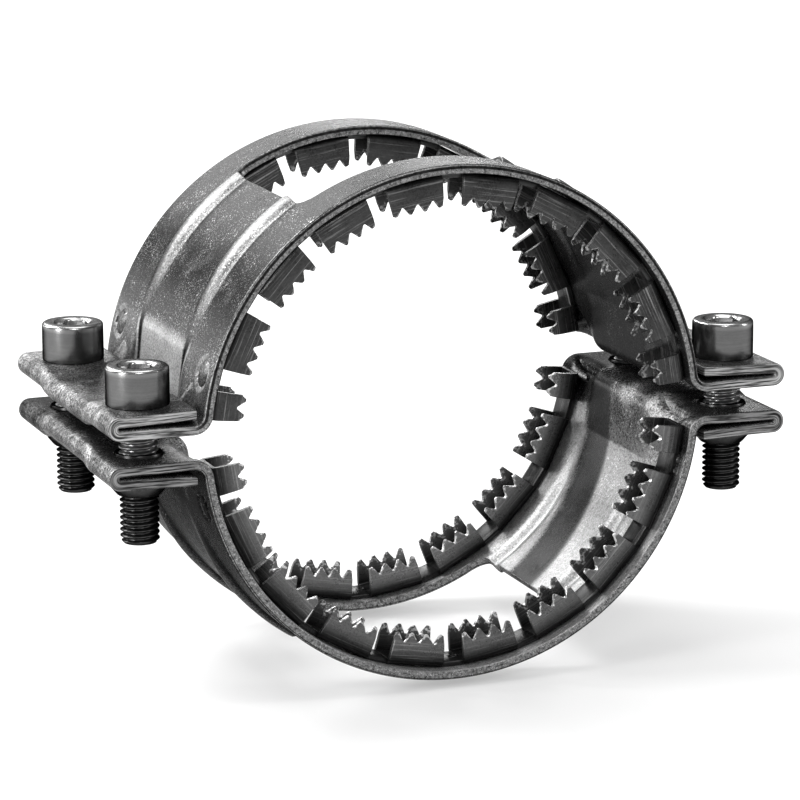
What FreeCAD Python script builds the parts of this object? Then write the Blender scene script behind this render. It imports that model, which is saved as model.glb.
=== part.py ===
import FreeCAD, Part
import math
import os

import Sketcher

# A two-part claw that grips a pipe coupling. Two pressed half shells with hemmed ears are
# drawn together by four socket head screws, and four toothed channel strips inside them
# bite into the pipe. Lengths are millimetres. The pipe axis is Y, the joint between the
# halves is the plane Z = 0, and the origin is on the pipe axis at mid width.

Vec = FreeCAD.Vector

SIZES = [
    # shells
    ("shell_bore", 64.5, "inner radius of the pressed arc"),
    ("shell_sheet", 2.4, "thickness of the shell sheet"),
    ("shell_width", 85.2, "width along the pipe"),
    ("arc_overlap", 0.7, "how far each arc centre lies past the joint plane"),
    ("ear_length", 23.9, "from the outside of the arc to the outer end of an ear"),
    ("half_gap", 3.2, "ear face to the joint plane"),
    ("hem_slit", 1.2, "slit between the two layers of a hem"),
    ("hem_set", 1.0, "from the outside of the arc to the end of the folded layer"),
    ("hem_corner", 0.5, "chamfer on the end of the folded layer"),
    ("bend_radius", 2.6, "inside radius of the bend from arc to ear"),
    ("step_depth", 1.1, "how far the middle of the ears is set towards the joint"),
    ("step_flat", 17.0, "half width of the set middle"),
    ("step_ramp", 5.0, "width of the ramp beside it"),
    ("step_angle", 17.5, "where the set starts on the arc, degrees above the joint"),
    ("window_angle", 32.3, "half angle of the window about the crown"),
    ("window_band", 15.1, "width of the bands beside the window"),
    ("window_corner", 5.0, "corner radius of the window"),
    ("bead_inset", 8.0, "from the edge of the window to the middle of a stiffening bead"),
    ("bead_height", 1.7, "height of the bead at the window"),
    ("bead_width", 7.0, "width of the bead at the window"),
    ("bead_crest", 3.0, "width of the flat crest of the bead"),
    ("dart_tip", 14.0, "height of the tip of a gusset dart above the joint"),
    ("dart_rise", 1.5, "how far a dart stands out of the wall at the hem"),
    ("dart_half", 4.3, "half width of a dart there"),
    # screws
    ("screw_edge", 11.5, "from the outer end of an ear to a screw axis"),
    ("screw_inset", 13.5, "from the edge of the sheet to a screw axis"),
    ("thread_size", 10.0, "outer diameter of the thread"),
    ("screw_length", 35.0, "length under the head"),
    ("head_size", 16.0, "diameter of the head"),
    ("head_rise", 10.0, "height of the head"),
    ("head_edge", 0.8, "chamfer on the top of the head"),
    ("tip_edge", 1.0, "chamfer on the tip"),
    ("socket_flats", 8.0, "width across the flats of the socket"),
    ("socket_depth", 5.0, "depth of the socket"),
    ("hole_size", 11.0, "clearance hole in the upper ears"),
    # nuts
    ("nut_size", 14.5, "diameter of the nut body"),
    ("nut_drop", 4.2, "height of the nut body below the ear"),
    ("nut_edge", 1.8, "width of the taper on the lower edge of the nut"),
    ("nut_taper", 2.1, "height of that taper"),
    ("collar_size", 12.4, "diameter of the collar pressed through the ear"),
    ("collar_rise", 0.6, "how far the collar stands above the ear"),
    ("thread_play", 0.05, "radial play of the thread"),
    ("press_play", 0.05, "play round the collar"),
    # toothed strips
    ("strip_inset", 8.05, "from the edge of the sheet to the middle of a strip"),
    ("strip_width", 11.5, "width over the two blades"),
    ("strip_sheet", 1.4, "thickness of the strip"),
    ("strip_bend", 2.0, "outer radius of its two bends"),
    ("seat_play", 0.05, "play between strip and shell"),
    ("blade_height", 9.05, "height of a blade from the seat to its tips"),
    ("tooth_depth", 2.7, "depth of the teeth"),
    ("tooth_pitch", 4.0, "distance from tooth to tooth"),
    ("tip_waste", 0.3, "how far the blank of a blade reaches past the tips"),
    ("blade_edge", 0.5, "thickness of a blade at its tips"),
    ("segment_pitch", 18.7, "angle from segment to segment"),
    ("segment_half", 6.8, "half angle of a full segment"),
    ("segment_count", 8, "full segments in a strip"),
    ("end_half", 3.3, "half angle of an end piece"),
    ("link_lap", 0.4, "angle by which a link runs into the segment beside it"),
    # cutting tools
    ("overcut", 1.0, "how far a tool runs past the face it cuts"),
]

FOLLOWING = [
    ("shell_outer", "=shell_bore + shell_sheet", "outer radius of the arc"),
    ("ear_reach", "=shell_outer + ear_length", "outer end of the ears from the pipe axis"),
    ("hem_end", "=shell_outer + hem_set", "end of the folded layer from the pipe axis"),
    ("window_width", "=shell_width / 2 - window_band", "half width of the window"),
    ("bead_place", "=window_width - bead_inset", "middle of a bead from mid width"),
    ("screw_reach", "=ear_reach - screw_edge", "screw axis from the pipe axis"),
    ("screw_place", "=shell_width / 2 - screw_inset", "screw axis from mid width"),
    ("strip_place", "=shell_width / 2 - strip_inset", "middle of a strip from mid width"),
    ("seat", "=shell_bore - seat_play", "where the corners of a strip touch, from the arc centre"),
    ("tip_level", "=seat - blade_height", "tooth tips from the arc centre"),
]

SIDES = [("left", -1), ("right", 1)]
ENDS = [("front", -1), ("rear", 1)]

doc = FreeCAD.newDocument("pipe_coupling_claw")
sheet = doc.addObject("Spreadsheet::Sheet", "sizes")


def fill_sheet():
    for row, (name, value, note) in enumerate(SIZES + FOLLOWING, start=1):
        sheet.set("A%d" % row, name)
        sheet.set("B%d" % row, str(value))
        sheet.set("C%d" % row, note)
        sheet.setAlias("B%d" % row, name)
    doc.recompute()


def size(name):
    return float(getattr(sheet, name))


# Helpers for tied sketches: every corner is a pair of expressions of the sheet.

def origin_part(body, role):
    for feature in body.Origin.OriginFeatures:
        if feature.Role == role:
            return feature


def attach(body, name, role):
    sketch = body.newObject("Sketcher::SketchObject", name)
    sketch.AttachmentSupport = [(origin_part(body, role), "")]
    sketch.MapMode = "FlatFace"
    return sketch


def value_of(text):
    return float(sheet.evalExpression(text.replace("sizes.", "")))


def arc_geometry(start, end, radius):
    """Arc from start to end: a positive radius turns left, a negative one right."""
    chord = end - start
    half = chord.Length / 2
    rise = math.sqrt(max(radius * radius - half * half, 0.0))
    left = Vec(-chord.y, chord.x, 0).normalize()
    centre = (start + end) / 2 + left * (rise if radius > 0 else -rise)
    circle = Part.Circle(centre, Vec(0, 0, 1), abs(radius))
    first, last = (start, end) if radius > 0 else (end, start)
    angles = [math.atan2(p.y - centre.y, p.x - centre.x) for p in (first, last)]
    return Part.ArcOfCircle(circle, angles[0], angles[1])


def tied_outline(sketch, corners):
    """Closed outline. A corner is (x, y), or (x, y, radius) where an arc leads to it."""
    points = [Vec(value_of(c[0]), value_of(c[1]), 0) for c in corners]
    count = len(corners)
    first = sketch.GeometryCount
    for i in range(count):
        start, end = points[i - 1], points[i]
        if len(corners[i]) == 3:
            sketch.addGeometry(arc_geometry(start, end, value_of(corners[i][2])), False)
        else:
            sketch.addGeometry(Part.LineSegment(start, end), False)

    def ends_of(i):
        turned = len(corners[i]) == 3 and value_of(corners[i][2]) < 0
        return (2, 1) if turned else (1, 2)

    for i in range(count):
        before, here = first + i, first + (i + 1) % count
        last_end = ends_of(i)[1]
        next_start = ends_of((i + 1) % count)[0]
        sketch.addConstraint(Sketcher.Constraint("Coincident", before, last_end, here, next_start))
        tie(sketch, Sketcher.Constraint("DistanceX", -1, 1, before, last_end, points[i].x), corners[i][0])
        tie(sketch, Sketcher.Constraint("DistanceY", -1, 1, before, last_end, points[i].y), corners[i][1])
        if len(corners[i]) == 3:
            radius = abs(value_of(corners[i][2]))
            tie(sketch, Sketcher.Constraint("Radius", before, radius), "abs(%s)" % corners[i][2])


def tie(sketch, constraint, expression):
    index = sketch.addConstraint(constraint)
    sketch.setExpression("Constraints[%d]" % index, expression)


def revolved(body, name, corners):
    sketch = attach(body, name + "_outline", "XZ_Plane")
    tied_outline(sketch, corners)
    feature = body.newObject("PartDesign::Revolution", name)
    feature.Profile = sketch
    feature.ReferenceAxis = (sketch, ["V_Axis"])
    feature.Angle = 360
    return feature


# Screws and nuts, each with its origin on its axis at the seat face.

def make_screw(name, x, y):
    body = doc.addObject("PartDesign::Body", name)
    body.Label = name
    head, shank = "sizes.head_size / 2", "sizes.thread_size / 2"
    revolved(body, name + "_turned", [
        ("0", "-sizes.screw_length"),
        (shank + " - sizes.tip_edge", "-sizes.screw_length"),
        (shank, "-sizes.screw_length + sizes.tip_edge"),
        (shank, "0"),
        (head, "0"),
        (head, "sizes.head_rise - sizes.head_edge"),
        (head + " - sizes.head_edge", "sizes.head_rise"),
        ("0", "sizes.head_rise"),
    ])
    sketch = attach(body, name + "_hexagon", "XY_Plane")
    sketch.setExpression("AttachmentOffset.Base.z", "sizes.head_rise")
    corner = "sizes.socket_flats / sqrt(3)"
    tied_outline(sketch, [("%s * cos(%d)" % (corner, turn), "%s * sin(%d)" % (corner, turn))
                          for turn in range(0, 360, 60)])
    socket = body.newObject("PartDesign::Pocket", name + "_socket")
    socket.Profile = sketch
    socket.setExpression("Length", "sizes.socket_depth")
    body.setExpression("Placement.Base.x", "%d * sizes.screw_reach" % x)
    body.setExpression("Placement.Base.y", "%d * sizes.screw_place" % y)
    body.setExpression("Placement.Base.z", "sizes.half_gap + 2 * sizes.shell_sheet + sizes.hem_slit")
    return body


def make_nut(name, x, y):
    body = doc.addObject("PartDesign::Body", name)
    body.Label = name
    outer, bore = "sizes.nut_size / 2", "sizes.thread_size / 2 + sizes.thread_play"
    top = "2 * sizes.shell_sheet + sizes.hem_slit + sizes.collar_rise"
    revolved(body, name + "_turned", [
        (bore, "-sizes.nut_drop"),
        (outer + " - sizes.nut_edge", "-sizes.nut_drop"),
        (outer, "-sizes.nut_drop + sizes.nut_taper"),
        (outer, "0"),
        ("sizes.collar_size / 2", "0"),
        ("sizes.collar_size / 2", top),
        (bore, top),
    ])
    body.setExpression("Placement.Base.x", "%d * sizes.screw_reach" % x)
    body.setExpression("Placement.Base.y", "%d * sizes.screw_place" % y)
    body.setExpression("Placement.Base.z", "-sizes.half_gap - 2 * sizes.shell_sheet - sizes.hem_slit")
    return body


# Toothed strips. A strip is one folded channel: straight segments joined by bare links.
# It is drawn with its first full segment upright, and turned into place as a whole.

def toothed_piece(body, name, turn, half_angle, teeth):
    """One straight channel segment, turned by an angle about the pipe axis."""
    base = "sizes.seat * cos(%s)" % half_angle
    half, bend, wall = "sizes.strip_width / 2", "sizes.strip_bend", "sizes.strip_sheet"
    crease = "sizes.tip_level + sizes.tooth_depth"
    under = "(sizes.tip_level - sizes.tip_waste)"
    section = attach(body, name + "_section", "YZ_Plane")
    section.AttachmentOffset = FreeCAD.Placement(Vec(), FreeCAD.Rotation(Vec(1, 0, 0), 1))
    section.setExpression("AttachmentOffset.Rotation.Angle", turn)
    tied_outline(section, [
        (half + " - %s + sizes.blade_edge" % wall, under),
        (half, crease),
        (half, "%s - %s" % (base, bend)),
        (half + " - " + bend, base, bend),
        ("-%s + %s" % (half, bend), base),
        ("-" + half, "%s - %s" % (base, bend), bend),
        ("-" + half, crease),
        ("-%s + %s - sizes.blade_edge" % (half, wall), under),
        ("-%s + %s" % (half, wall), under),
        ("-%s + %s" % (half, wall), "%s - %s" % (base, wall)),
        ("%s - %s" % (half, wall), "%s - %s" % (base, wall)),
        ("%s - %s" % (half, wall), under),
    ])
    channel = body.newObject("PartDesign::Pad", name + "_channel")
    channel.Profile = section
    channel.Midplane = True
    channel.setExpression("Length", "2 * sizes.seat * sin(%s)" % half_angle)

    reach = "%d * sizes.tooth_pitch / 2" % teeth
    below = "%s - sizes.overcut" % under
    notches = attach(body, name + "_teeth", "XZ_Plane")
    turn_flat(notches, turn)
    corners = [("-(%s)" % reach, below), (reach, below), (reach, crease)]
    for i in range(teeth):
        middle = "(%s - sizes.tooth_pitch * %.1f)" % (reach, i + 0.5)
        corners.append((middle, "sizes.tip_level"))
        corners.append((middle + " - sizes.tooth_pitch / 2", crease))
    tied_outline(notches, corners)
    cut_teeth = through(body, name + "_notched", notches)

    ends = attach(body, name + "_ends", "XZ_Plane")
    turn_flat(ends, turn)
    above = "(sizes.seat + sizes.overcut)"
    beyond = "sizes.seat * sin(%s) + sizes.overcut" % half_angle
    for way in ("", "-"):
        tied_outline(ends, [
            ("%s(%s) * tan(%s)" % (way, above, half_angle), above),
            ("%s(%s) * tan(%s)" % (way, below, half_angle), below),
            ("%s(%s)" % (way, beyond), below),
            ("%s(%s)" % (way, beyond), above),
        ])
    cut_ends = through(body, name + "_trimmed", ends)
    return [channel, cut_teeth, cut_ends]


def turn_flat(sketch, turn):
    """This plane's normal points to the front, so the turn is taken the other way."""
    sketch.AttachmentOffset = FreeCAD.Placement(Vec(), FreeCAD.Rotation(Vec(0, 0, -1), 1))
    sketch.setExpression("AttachmentOffset.Rotation.Angle", turn)


def through(body, name, sketch):
    pocket = body.newObject("PartDesign::Pocket", name)
    pocket.Profile = sketch
    pocket.Midplane = True
    pocket.setExpression("Length", "2 * sizes.strip_width")
    return pocket


def link_plate(body, name, start, end):
    """Flat plate of the base band between two angles from the upright."""
    first, last = "(%s - sizes.link_lap)" % start, "(%s + sizes.link_lap)" % end
    inner = "(sizes.seat - sizes.strip_sheet)"
    sketch = attach(body, name + "_outline", "XZ_Plane")
    tied_outline(sketch, [
        ("sizes.seat * sin(%s)" % first, "sizes.seat * cos(%s)" % first),
        ("sizes.seat * sin(%s)" % last, "sizes.seat * cos(%s)" % last),
        ("%s * sin(%s)" % (inner, last), "%s * cos(%s)" % (inner, last)),
        ("%s * sin(%s)" % (inner, first), "%s * cos(%s)" % (inner, first)),
    ])
    plate = body.newObject("PartDesign::Pad", name)
    plate.Profile = sketch
    plate.Midplane = True
    plate.setExpression("Length", "sizes.strip_width - 2 * sizes.strip_bend + sizes.strip_sheet")
    return plate


def repeat(body, name, features, span, count):
    row = body.newObject("PartDesign::PolarPattern", name)
    row.Originals = features
    row.Axis = (origin_part(body, "Y_Axis"), [""])
    row.setExpression("Angle", span)
    row.setExpression("Occurrences", count)
    body.Tip = row
    doc.recompute()


def make_strip(name, y, half_turn):
    body = doc.addObject("PartDesign::Body", name)
    body.Label = name
    full = "sizes.segment_half"
    span = "(sizes.segment_count - 1) * sizes.segment_pitch"
    features = toothed_piece(body, name + "_segment", "0", full, 4)
    repeat(body, name + "_segments", features, span, "sizes.segment_count")
    lead = "(sizes.segment_pitch - sizes.segment_half + sizes.end_half)"
    toothed_piece(body, name + "_first_end", "-" + lead, "sizes.end_half", 2)
    toothed_piece(body, name + "_last_end", "%s + %s" % (span, lead), "sizes.end_half", 2)
    link = link_plate(body, name + "_link", "-sizes.segment_pitch + " + full, "-" + full)
    repeat(body, name + "_links", [link], "sizes.segment_count * sizes.segment_pitch",
           "sizes.segment_count + 1")
    body.Placement = FreeCAD.Placement(Vec(), FreeCAD.Rotation(Vec(0, 1, 0), 1))
    body.setExpression("Placement.Base.y", "%d * sizes.strip_place" % y)
    body.setExpression("Placement.Base.z", "%s sizes.arc_overlap" % ("" if half_turn else "-"))
    body.setExpression("Placement.Rotation.Angle", "%d - %s / 2" % (180 if half_turn else 0, span))
    return body


# Shells. Each is one pressed sheet: an arc, two bends, and ears folded back on themselves.

def at(centre, radius, angle):
    return centre + Vec(math.cos(angle), 0, math.sin(angle)) * radius


def arc(centre, radius, start, end):
    middle = (start + end) / 2
    return Part.Arc(at(centre, radius, start), at(centre, radius, middle), at(centre, radius, end)).toShape()


def line(start, end):
    return Part.LineSegment(start, end).toShape()


def touching_angle(point, centre, radius):
    """Angle at which a line from the point touches the circle on its pipe side."""
    way = point - centre
    return math.atan2(way.z, way.x) + math.acos(radius / way.Length)


def shell_section(step):
    """Closed section of the sheet; step sets its bends and ears towards the joint."""
    bore, thick = size("shell_bore"), size("shell_sheet")
    outer, bend = size("shell_outer"), size("bend_radius")
    centre = Vec(0, 0, -size("arc_overlap"))
    level = size("half_gap") + thick + bend
    reach = math.sqrt((outer + bend) ** 2 - (level - centre.z) ** 2)
    turn = Vec(reach - step, 0, level - step)
    start = math.radians(size("step_angle"))
    outside, inside = at(centre, outer, start), at(centre, bore, start)
    right = math.pi * 1.5
    if step:
        meet_out = touching_angle(outside, turn, bend)
        meet_in = touching_angle(inside, turn, bend + thick)
        wall_out = line(outside, at(turn, bend, meet_out))
        wall_in = line(at(turn, bend + thick, meet_in), inside)
    else:
        lean = math.asin((level - centre.z) / (outer + bend))
        meet_out = meet_in = lean + math.pi
        wall_out = arc(centre, outer, start, lean)
        wall_in = arc(centre, bore, lean, start)
    low = level - bend - thick - step
    slit_low, slit_high = low + thick, low + thick + size("hem_slit")
    top = slit_high + thick
    fold = Vec(size("ear_reach") - (top - low) / 2, 0, (low + top) / 2)
    end, cut = size("hem_end"), size("hem_corner")
    quarter = math.pi / 2
    side = [
        wall_out,
        arc(turn, bend, meet_out, right),
        line(Vec(turn.x, 0, slit_low), Vec(fold.x, 0, slit_low)),
        arc(fold, size("hem_slit") / 2, -quarter, quarter),
        line(Vec(fold.x, 0, slit_high), Vec(end + cut, 0, slit_high)),
        line(Vec(end + cut, 0, slit_high), Vec(end, 0, slit_high + cut)),
        line(Vec(end, 0, slit_high + cut), Vec(end, 0, top - cut)),
        line(Vec(end, 0, top - cut), Vec(end + cut, 0, top)),
        line(Vec(end + cut, 0, top), Vec(fold.x, 0, top)),
        arc(fold, (top - low) / 2, quarter, -quarter),
        line(Vec(fold.x, 0, low), Vec(turn.x, 0, low)),
        arc(turn, bend + thick, right, meet_in),
        wall_in,
    ]
    mirrored = [edge.mirror(Vec(), Vec(1, 0, 0)) for edge in side]
    crown = [arc(centre, outer, start, math.pi - start), arc(centre, bore, start, math.pi - start)]
    return Part.Wire(Part.__sortEdges__(side + mirrored + crown))


def moved(shape, y):
    copy = shape.copy()
    copy.translate(Vec(0, y, 0))
    return copy


def pressed_sheet():
    seat, middle = shell_section(0), shell_section(size("step_depth"))
    flat, half = size("step_flat"), size("shell_width") / 2
    ramp_end = flat + size("step_ramp")
    sheet_shape = Part.Face(moved(middle, -flat)).extrude(Vec(0, 2 * flat, 0))
    for way in (-1, 1):
        block = Part.Face(moved(seat, way * ramp_end)).extrude(Vec(0, way * (half - ramp_end), 0))
        ramp = Part.makeLoft([moved(middle, way * flat), moved(seat, way * ramp_end)], True, True)
        sheet_shape = sheet_shape.fuse([ramp, block])
    return sheet_shape.removeSplitter()


def window_tool():
    centre = Vec(0, 0, -size("arc_overlap"))
    half_angle, half_width = math.radians(size("window_angle")), size("window_width")
    clear = size("bead_height") + size("overcut")
    inner, outer = size("shell_bore") - clear, size("shell_outer") + clear
    start, end = math.pi / 2 - half_angle, math.pi / 2 + half_angle
    wire = Part.Wire([
        arc(centre, outer, start, end),
        line(at(centre, outer, end), at(centre, inner, end)),
        arc(centre, inner, end, start),
        line(at(centre, inner, start), at(centre, outer, start)),
    ])
    tool = Part.Face(moved(wire, -half_width)).extrude(Vec(0, 2 * half_width, 0))
    radial = [e for e in tool.Edges if abs(e.Length - (outer - inner)) < 0.01 and is_straight(e)]
    return tool.makeFillet(size("window_corner"), radial)


def is_straight(edge):
    return isinstance(edge.Curve, (Part.Line, Part.LineSegment)) and \
        abs(edge.Vertexes[0].Point.y - edge.Vertexes[1].Point.y) < 0.01


def bead_tools(way, side):
    """Ridge and groove of one bead: two rings that rise out of the arc towards the window."""
    bore, thick, height = size("shell_bore"), size("shell_sheet"), size("bead_height")
    outer, crest, half = size("shell_outer"), size("bead_crest") / 2, size("bead_width") / 2
    full = math.radians(90 - size("window_angle"))
    fade = math.radians(size("step_angle"))
    shift = height / (1 - math.cos(full - fade))
    centre = at(Vec(0, 0, -size("arc_overlap")), shift, full)
    top = outer + height - shift
    lead = fade - math.asin(shift * math.sin(full - fade) / top)
    slope = (half - crest) / height
    corner = thick * math.tan(math.atan2(height, half - crest) / 2)
    deep = height + size("overcut")
    ridge = [(top, crest), (top - height, half), (top - height - thick / 2, half)]
    groove = [(top - thick, crest - corner), (top - thick - deep, crest - corner + deep * slope)]
    sweep = math.degrees(full - lead + size("overcut") / outer)
    tools = []
    for half_section in (ridge, groove):
        rim = half_section + [(radius, -y) for radius, y in reversed(half_section)]
        points = [at(centre, radius, lead) + Vec(0, way * size("bead_place") + y, 0) for radius, y in rim]
        tool = Part.Face(Part.makePolygon(points + points[:1])).revolve(centre, Vec(0, -1, 0), sweep)
        if side < 0:
            tool = tool.mirror(Vec(), Vec(1, 0, 0))
        tools.append(tool)
    core = Part.makeCylinder(bore + thick / 2, size("shell_width"),
                             Vec(0, -size("shell_width") / 2, -size("arc_overlap")), Vec(0, 1, 0))
    return tools[0].cut(core), tools[1]


def dart_tools(way, side):
    """Ridge and groove of one gusset dart, pressed into the bend beside a screw."""
    thick, rise, tip = size("shell_sheet"), size("dart_rise"), size("dart_tip")
    ear, over = size("half_gap") + thick, size("overcut")
    brim = ear + thick + size("hem_slit")
    spread = size("dart_half") / rise

    def wall(z):
        return math.sqrt(size("shell_outer") ** 2 - (z + size("arc_overlap")) ** 2)

    crest = wall(brim) + rise
    lean = math.atan2(crest - wall(tip), tip - brim)
    ridge = [(tip, wall(tip), thick / 2), (brim, crest, rise + thick / 2), (ear - thick / 4, crest, rise)]
    groove = [(tip, wall(tip) - thick / math.cos(lean), rise + over),
              (brim - thick * math.tan(lean / 2), crest - thick, rise + over),
              (size("half_gap") - over, crest - thick, rise + over)]
    tools = []
    for levels in (ridge, groove):
        rings = []
        for z, x, deep in levels:
            ring = [Vec(side * (x - abs(y) * deep), way * (size("screw_place") + y * deep * spread), z)
                    for y in (0, 1, -1, 0)]
            rings.append(Part.makePolygon(ring))
        tools.append(Part.makeLoft(rings, True, True))
    return tools


def make_shell(name, hole, half_turn):
    shape = pressed_sheet()
    depth = size("half_gap") + 2 * size("shell_sheet") + size("hem_slit") + size("overcut")
    for way in (-1, 1):
        for side in (-1, 1):
            for ridge, groove in (bead_tools(way, side), dart_tools(way, side)):
                shape = shape.fuse(ridge).cut(groove)
            place = Vec(side * size("screw_reach"), way * size("screw_place"), 0)
            shape = shape.cut(Part.makeCylinder(hole / 2, depth, place))
    shape = shape.cut(window_tool()).removeSplitter()
    shell = doc.addObject("Part::Feature", name)
    shell.Label = name
    shell.Shape = shape
    if half_turn:
        shell.Placement = FreeCAD.Placement(Vec(), FreeCAD.Rotation(Vec(0, 1, 0), 180))
    return shell


def check_and_write(parts):
    doc.recompute()
    for item in doc.Objects:
        if "Invalid" in item.State or "Error" in item.State:
            raise RuntimeError("%s failed: %s" % (item.Name, item.State))
    os.makedirs("parts", exist_ok=True)
    for part in parts:
        shape = part.Shape
        if shape.isNull() or not shape.isValid():
            raise RuntimeError("%s has no valid shape" % part.Label)
        shape.exportStep("parts/%s.step" % part.Label)


fill_sheet()
parts = [
    make_shell("upper_shell", size("hole_size"), False),
    make_shell("lower_shell", size("collar_size") + 2 * size("press_play"), True),
]
for end, way in ENDS:
    parts.append(make_strip("upper_%s_grip" % end, way, False))
    parts.append(make_strip("lower_%s_grip" % end, way, True))
    for side_name, side in SIDES:
        parts.append(make_screw("screw_%s_%s" % (end, side_name), side, way))
        parts.append(make_nut("nut_%s_%s" % (end, side_name), side, way))
check_and_write(parts)
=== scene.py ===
import math

import bmesh
import bpy
import numpy as np
from mathutils import Matrix, Vector
from mathutils.geometry import delaunay_2d_cdt


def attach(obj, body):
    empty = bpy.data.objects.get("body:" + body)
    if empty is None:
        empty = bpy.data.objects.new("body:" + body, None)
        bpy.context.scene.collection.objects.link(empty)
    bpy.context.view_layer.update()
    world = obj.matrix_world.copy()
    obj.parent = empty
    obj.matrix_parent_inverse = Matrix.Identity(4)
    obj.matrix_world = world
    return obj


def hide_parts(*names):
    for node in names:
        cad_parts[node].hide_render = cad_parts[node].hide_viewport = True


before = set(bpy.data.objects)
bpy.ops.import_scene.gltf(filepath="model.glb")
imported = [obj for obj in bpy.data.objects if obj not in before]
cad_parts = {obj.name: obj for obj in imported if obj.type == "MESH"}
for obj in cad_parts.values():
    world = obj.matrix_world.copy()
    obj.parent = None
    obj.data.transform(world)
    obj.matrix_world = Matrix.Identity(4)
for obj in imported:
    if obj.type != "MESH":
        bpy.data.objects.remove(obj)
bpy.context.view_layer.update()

# The looks of the pipe coupling claw. Lengths are in millimetres until a mesh is made, where MM
# turns them into metres. The sizes named ANGLE, the segments' pitch and their halves are in
# degrees. The frame is the model's: the pipe's axis is Y and the joint plane is Z = 0.

MM = 0.001

# ---- sizes, as in the solids
BORE, SHEET, WIDTH = 64.5, 2.4, 85.2
HALF_SHEET, MID = SHEET / 2, BORE + SHEET / 2
OVERLAP, GAP, BEND, SLIT = 0.7, 3.2, 2.6, 1.2
EAR_REACH, HEM_END = 90.8, 67.9
STEP_DEPTH, STEP_FLAT, STEP_RAMP, STEP_ANGLE = 1.1, 17.0, 5.0, 17.5
WINDOW_ANGLE, WINDOW_HALF, WINDOW_CORNER = 32.3, 27.5, 5.0
BEAD_PLACE, BEAD_HEIGHT, BEAD_SPREAD, BEAD_EASE_ANGLE = 19.5, 1.7, 4.8, 24
DART_PLACE, DART_HEIGHT, DART_RUN, DART_ANGLE = 28.9, 2.3, 5.0, 12.8
SCREW_REACH, SCREW_PLACE, CLEARANCE_HOLE, NUT_HOLE = 79.3, 29.1, 5.5, 6.25
SEAT_LEVEL = GAP + 2 * SHEET + SLIT
STRIP_PLACE, STRIP_WIDTH, STRIP_SHEET, STRIP_BEND = 34.55, 11.5, 1.4, 2.0
SEAT, TIP_LEVEL, TOOTH_DEPTH, TOOTH_PITCH, BLADE_EDGE = 64.45, 55.4, 2.7, 4.0, 0.5
SEGMENT_PITCH, SEGMENT_HALF, SEGMENT_COUNT, END_HALF = 18.7, 6.8, 8, 3.3
FULL_TEETH, END_TEETH = 4, 2

# ---- finer sizes, in the looks alone
RIM, RIM_ROUNDS = 1.0, (0.85, 0.45)      # the border's rolled cut edge, outside and inside
EDGE, EDGE_ROUNDS = 0.35, (0.3, 0.2)     # the same round the window and the holes
CLINCH_RUN, CLINCH_PLACE = MID * math.radians(74.6), 35.2
CLINCH_RING, CLINCH_GROOVE, CLINCH_SINK = 3.4, 0.9, 0.8
DART_FLANK, DART_EASE = 0.46, 0.07
HEM_RISE, SLIT_CLOSED, SLIT_PINCHED = 0.35, 0.10, 0.26
BLADE_BEVEL, LINK_BEVEL = 0.11, 0.12
BLUNTING, LEANING = 0.16, 0.12
THREAD_PITCH, THREAD_OUTER, THREAD_DEPTH, THREAD_STEP = 1.5, 4.94, 0.86, 0.125
SHANK_LENGTH, POINT_RADIUS, POINT_SLOPE = 35.0, 4.0, 0.9
SOCKET_HALF, SOCKET_CORNER = 4.0, 4.52

# ---- how many steps and how long a mesh's edges are
CROWN_STEPS, BEND_STEPS, EAR_STEPS, HEM_STEPS = 76, 14, 17, 19
HOLE_STEPS, CORNER_STEPS, SCREW_STEPS, NUT_STEPS = 40, 10, 72, 64
COARSE, PLAIN_EDGE, FINE, CLOSE = 1.2, 1.1, 0.6, 0.5
FINE_FROM, FINE_TO, CLOSE_ANGLE = 12, 38.4, 69


# ---- finishes

class Value:
    """A socket's value; a sum on it adds the nodes that it needs."""

    def __init__(self, finish, socket):
        self.finish = finish
        self.socket = socket

    def maths(self, operation, *terms):
        return self.finish.node("ShaderNodeMath", {"operation": operation}, dict(enumerate(terms)))

    def __add__(self, other):
        return self.maths("ADD", self, other)

    __radd__ = __add__

    def __sub__(self, other):
        return self.maths("SUBTRACT", self, other)

    def __rsub__(self, other):
        return self.maths("SUBTRACT", other, self)

    def __mul__(self, other):
        return self.maths("MULTIPLY", self, other)

    __rmul__ = __mul__

    def step(self, start, end):
        """0 before start and 1 past end, smooth between; it falls where start is the larger."""
        falls = start > end
        return self.finish.node("ShaderNodeMapRange", {"interpolation_type": "SMOOTHSTEP"}, {
            "Value": self, "From Min": min(start, end), "From Max": max(start, end),
            "To Min": float(falls), "To Max": float(not falls)}, "Result")


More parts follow.
